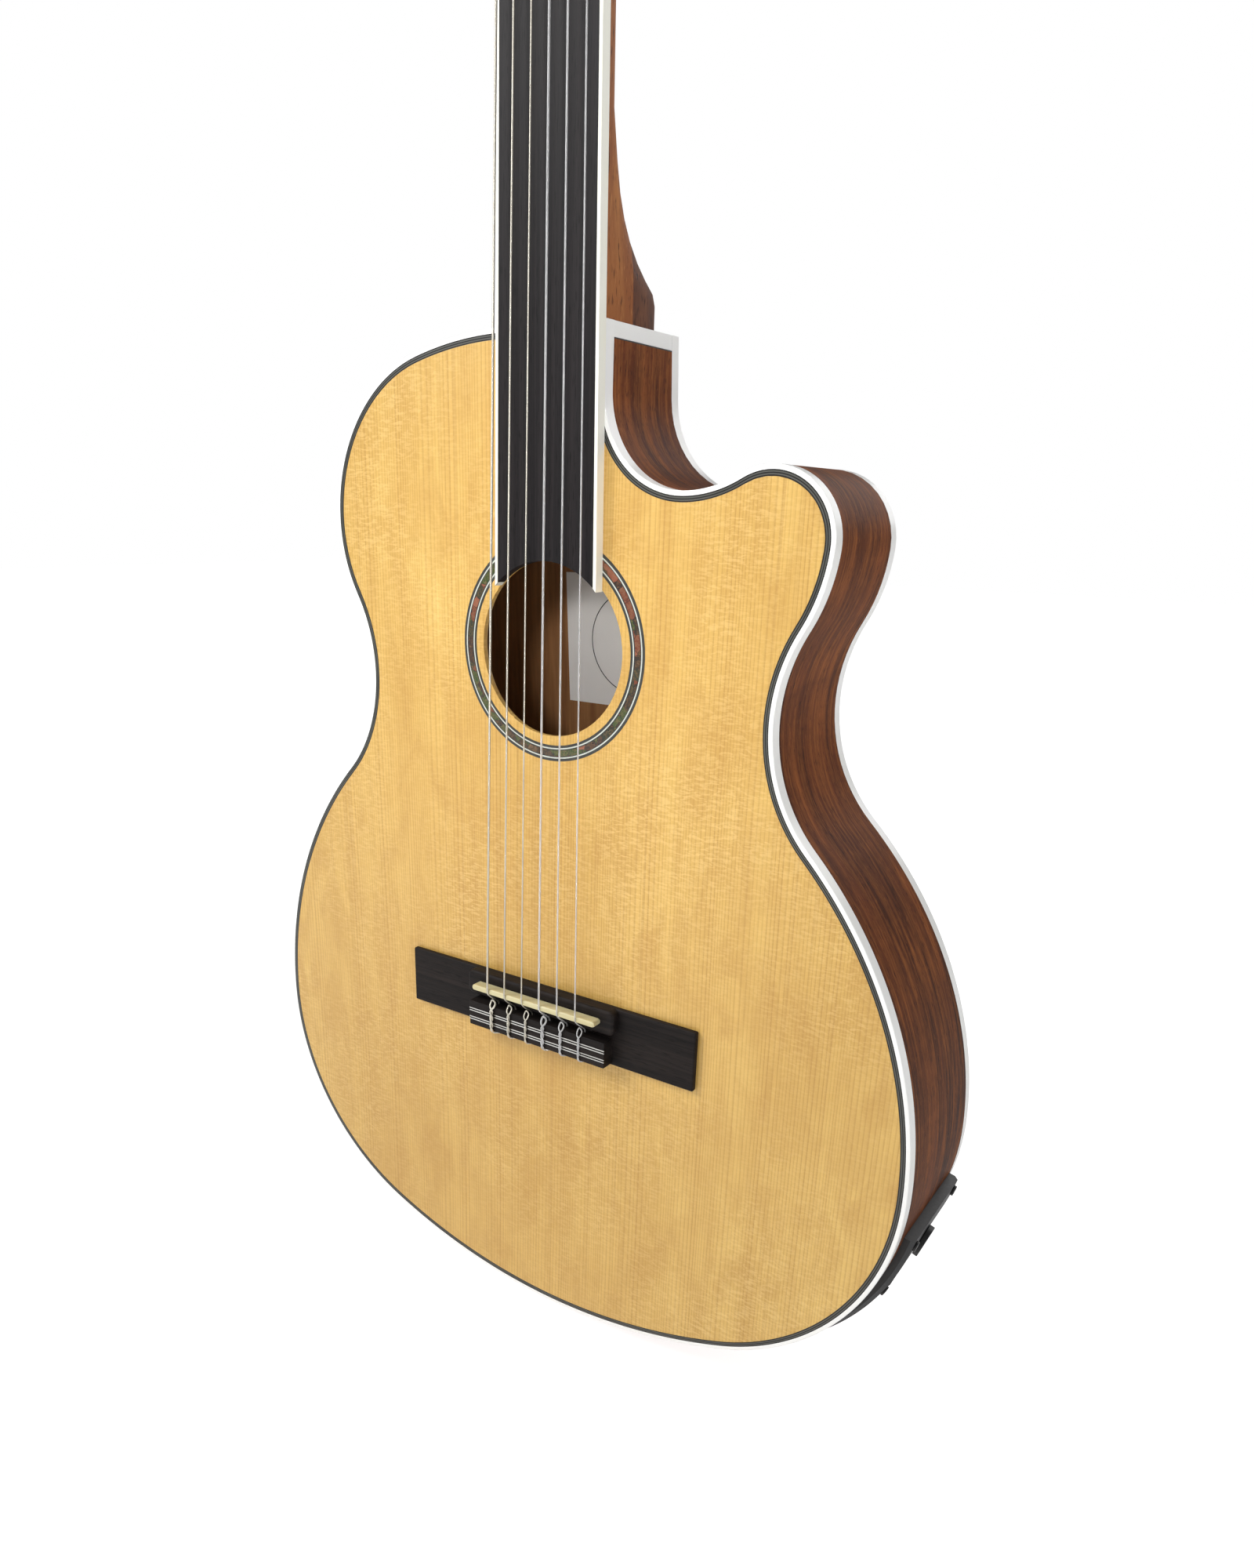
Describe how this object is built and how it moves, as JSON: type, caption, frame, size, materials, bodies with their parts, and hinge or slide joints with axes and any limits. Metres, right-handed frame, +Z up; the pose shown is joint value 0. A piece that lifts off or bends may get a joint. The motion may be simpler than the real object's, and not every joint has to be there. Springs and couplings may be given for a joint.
{
  "type": "classical guitar",
  "caption": "Cutaway thin-body classical guitar with a fretless fingerboard, six strings, geared tuners and a pickup with side battery drawer and jack.",
  "frame": {"origin": "where the strap button's centre line leaves the tail end of the body, half way through its depth", "axes": "+Z runs up the neck along the body's centre line, -Y is out of the soundboard, +X is the treble side with the cutaway"},
  "size_m": [0.385, 0.1096, 1.0267],
  "materials": {
    "spruce_top": "gloss",
    "mahogany_body": "gloss",
    "mahogany_neck": "satin",
    "mahogany_heel": "satin",
    "lining_wood": "raw",
    "brace_spruce": "raw",
    "mosaic_chips": "gloss",
    "purfling_black": "gloss",
    "binding_white": "gloss",
    "label_paper": "matt paper",
    "bridge_rosewood": "satin",
    "veneer_dark": "gloss",
    "ebony": "satin",
    "bone": "polished",
    "brass_strip": "satin",
    "inlay_silver": "satin",
    "chrome_metal": "polished",
    "silver_wound": "wound",
    "clear_nylon": "clear",
    "gold_plate": "polished",
    "black_plastic": "satin",
    "battery_case": "satin",
    "roller_white": "satin with plated shaft",
    "button_pearl": "pearl with plated worm"
  },
  "bodies": {
    "guitar": {"soundboard": "spruce_top", "back": "mahogany_body", "bass_side": "mahogany_body", "treble_side": "mahogany_body", "neck_shaft": "mahogany_neck", "headstock": "mahogany_neck", "heel": "mahogany_heel", "neck_block": "lining_wood", "tail_block": "lining_wood", "linings": "lining_wood", "soundboard_bars": "brace_spruce", "fan_braces": "brace_spruce", "soundhole_patch": "brace_spruce", "back_braces": "brace_spruce", "back_strip": "brace_spruce", "rosette_mosaic": "mosaic_chips", "rosette_lines": "purfling_black", "top_purfling": "purfling_black", "top_binding": "binding_white", "back_binding": "binding_white", "cutaway_binding": "binding_white", "fingerboard_binding": "binding_white", "label": "label_paper", "bridge": "bridge_rosewood", "headstock_veneer": "veneer_dark", "fingerboard": "ebony", "side_dots": "ebony", "heel_cap": "ebony", "saddle": "bone", "nut": "bone", "saddle_pickup": "brass_strip", "tie_block_lines": "inlay_silver", "strap_button": "chrome_metal", "bass_strings": "silver_wound", "treble_strings": "clear_nylon", "tuner_plates": "gold_plate", "tuner_screws": "gold_plate", "output_plate": "black_plastic", "battery_box": "black_plastic", "preamp_panel": "black_plastic", "preamp_box": "black_plastic", "plate_screws": "black_plastic", "output_jack": "black_plastic"},
    "drawer": {"battery_drawer": "black_plastic", "battery": "battery_case"},
    "roller_body_e_low": {"roller_e_low": "roller_white"},
    "button_body_e_low": {"button_e_low": "button_pearl"},
    "roller_body_a": {"roller_a": "roller_white"},
    "button_body_a": {"button_a": "button_pearl"},
    "roller_body_d": {"roller_d": "roller_white"},
    "button_body_d": {"button_d": "button_pearl"},
    "roller_body_g": {"roller_g": "roller_white"},
    "button_body_g": {"button_g": "button_pearl"},
    "roller_body_b": {"roller_b": "roller_white"},
    "button_body_b": {"button_b": "button_pearl"},
    "roller_body_e_high": {"roller_e_high": "roller_white"},
    "button_body_e_high": {"button_e_high": "button_pearl"},
    "volume_knob_body": {"volume_knob": "black_plastic"},
    "bass_knob_body": {"bass_knob": "black_plastic"},
    "treble_knob_body": {"treble_knob": "black_plastic"}
  },
  "joints": [
    {"name": "button_turn_e_low", "type": "hinge", "parent": "guitar", "child": "button_body_e_low", "pos_m": [-0.04, -0.03757, 0.87984], "axis": [0, 0.9703, -0.2419], "continuous": true},
    {"name": "roller_turn_e_low", "type": "hinge", "parent": "guitar", "child": "roller_body_e_low", "pos_m": [0, -0.02667, 0.88634], "axis": [1, 0, 0], "continuous": true},
    {"name": "button_turn_a", "type": "hinge", "parent": "guitar", "child": "button_body_a", "pos_m": [-0.04, -0.0291, 0.9138], "axis": [0, 0.9703, -0.2419], "continuous": true},
    {"name": "roller_turn_a", "type": "hinge", "parent": "guitar", "child": "roller_body_a", "pos_m": [0, -0.0182, 0.9203], "axis": [1, 0, 0], "continuous": true},
    {"name": "button_turn_d", "type": "hinge", "parent": "guitar", "child": "button_body_d", "pos_m": [-0.04, -0.02063, 0.94776], "axis": [0, 0.9703, -0.2419], "continuous": true},
    {"name": "roller_turn_d", "type": "hinge", "parent": "guitar", "child": "roller_body_d", "pos_m": [0, -0.00974, 0.95426], "axis": [1, 0, 0], "continuous": true},
    {"name": "button_turn_g", "type": "hinge", "parent": "guitar", "child": "button_body_g", "pos_m": [0.04, -0.02063, 0.94776], "axis": [0, 0.9703, -0.2419], "continuous": true},
    {"name": "roller_turn_g", "type": "hinge", "parent": "guitar", "child": "roller_body_g", "pos_m": [0, -0.00974, 0.95426], "axis": [1, 0, 0], "continuous": true},
    {"name": "button_turn_b", "type": "hinge", "parent": "guitar", "child": "button_body_b", "pos_m": [0.04, -0.0291, 0.9138], "axis": [0, 0.9703, -0.2419], "continuous": true},
    {"name": "roller_turn_b", "type": "hinge", "parent": "guitar", "child": "roller_body_b", "pos_m": [0, -0.0182, 0.9203], "axis": [1, 0, 0], "continuous": true},
    {"name": "button_turn_e_high", "type": "hinge", "parent": "guitar", "child": "button_body_e_high", "pos_m": [0.04, -0.03757, 0.87984], "axis": [0, 0.9703, -0.2419], "continuous": true},
    {"name": "roller_turn_e_high", "type": "hinge", "parent": "guitar", "child": "roller_body_e_high", "pos_m": [0, -0.02667, 0.88634], "axis": [1, 0, 0], "continuous": true},
    {"name": "battery_drawer_slide", "type": "slide", "parent": "guitar", "child": "drawer", "axis": [0.7986, 0, -0.6018], "range_m": [0, 0.024]},
    {"name": "volume_knob_turn", "type": "hinge", "parent": "guitar", "child": "volume_knob_body", "pos_m": [-0.13029, -0.0165, 0.39759], "axis": [-0.9903, 0, -0.1392], "range_deg": [-150, 150]},
    {"name": "bass_knob_turn", "type": "hinge", "parent": "guitar", "child": "bass_knob_body", "pos_m": [-0.13072, -0.0165, 0.41411], "axis": [-0.9962, 0, 0.0872], "range_deg": [-150, 150]},
    {"name": "treble_knob_turn", "type": "hinge", "parent": "guitar", "child": "treble_knob_body", "pos_m": [-0.12743, -0.0165, 0.43031], "axis": [-0.9511, 0, 0.309], "range_deg": [-150, 150]}
  ],
  "couplings": [
    {"joint": "roller_turn_e_low", "follows": "button_turn_e_low", "ratio": -0.066667},
    {"joint": "roller_turn_a", "follows": "button_turn_a", "ratio": -0.066667},
    {"joint": "roller_turn_d", "follows": "button_turn_d", "ratio": -0.066667},
    {"joint": "roller_turn_g", "follows": "button_turn_g", "ratio": -0.066667},
    {"joint": "roller_turn_b", "follows": "button_turn_b", "ratio": -0.066667},
    {"joint": "roller_turn_e_high", "follows": "button_turn_e_high", "ratio": -0.066667}
  ]
}
